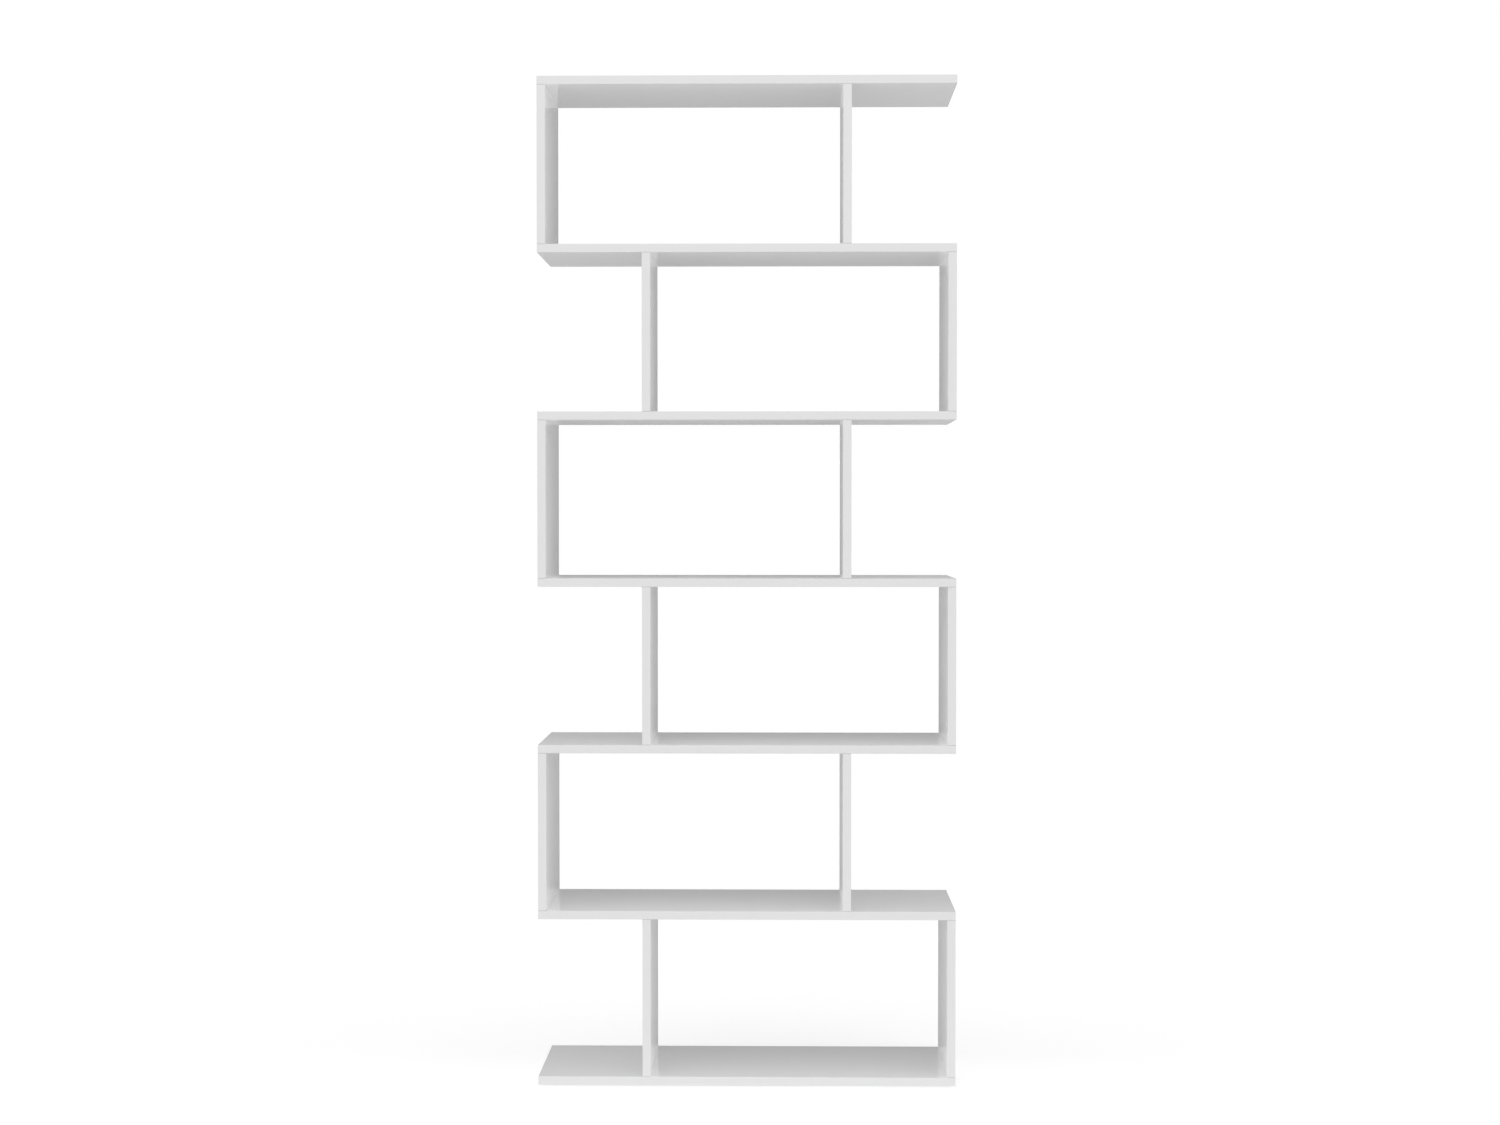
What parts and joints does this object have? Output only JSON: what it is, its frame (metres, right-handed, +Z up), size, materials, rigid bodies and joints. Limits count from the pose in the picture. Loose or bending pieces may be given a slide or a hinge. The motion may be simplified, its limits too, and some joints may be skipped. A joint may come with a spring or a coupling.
{
  "type": "shelving unit",
  "caption": "Tall open-backed zig-zag shelving unit of gloss white boards: full-width shelves on side panels at alternate ends and inset partitions, held by cam fittings and dowels.",
  "frame": {"origin": "on the floor under the middle of the unit", "axes": "+Z up, +Y to the back that faces the wall, +X to the right as seen from the front"},
  "size_m": [0.8, 0.25, 1.959],
  "materials": {
    "gloss_board": "gloss",
    "edging": "gloss",
    "cast_zinc": "satin",
    "plated_steel": "satin",
    "beech": "matte",
    "cover_film": "satin",
    "glide_plastic": "satin"
  },
  "bodies": {
    "root": {"base_board": "gloss_board", "shelf_1": "gloss_board", "shelf_2": "gloss_board", "shelf_3": "gloss_board", "shelf_4": "gloss_board", "shelf_5": "gloss_board", "top_board": "gloss_board", "side_panel_1": "gloss_board", "partition_1": "gloss_board", "side_panel_2": "gloss_board", "partition_2": "gloss_board", "side_panel_3": "gloss_board", "partition_3": "gloss_board", "side_panel_4": "gloss_board", "partition_4": "gloss_board", "side_panel_5": "gloss_board", "partition_5": "gloss_board", "side_panel_6": "gloss_board", "partition_6": "gloss_board", "base_board_edging": "edging", "shelf_1_edging": "edging", "shelf_2_edging": "edging", "shelf_3_edging": "edging", "shelf_4_edging": "edging", "shelf_5_edging": "edging", "top_board_edging": "edging", "side_panel_1_edging": "edging", "partition_1_edging": "edging", "side_panel_2_edging": "edging", "partition_2_edging": "edging", "side_panel_3_edging": "edging", "partition_3_edging": "edging", "side_panel_4_edging": "edging", "partition_4_edging": "edging", "side_panel_5_edging": "edging", "partition_5_edging": "edging", "side_panel_6_edging": "edging", "partition_6_edging": "edging", "cam_locks": "cast_zinc", "cam_bolts": "plated_steel", "wood_dowels": "beech", "cover_discs": "cover_film", "floor_glides": "glide_plastic", "glide_nails": "plated_steel", "wall_bracket_left": "plated_steel", "wall_bracket_right": "plated_steel", "bracket_screws": "plated_steel"}
  },
  "joints": []
}
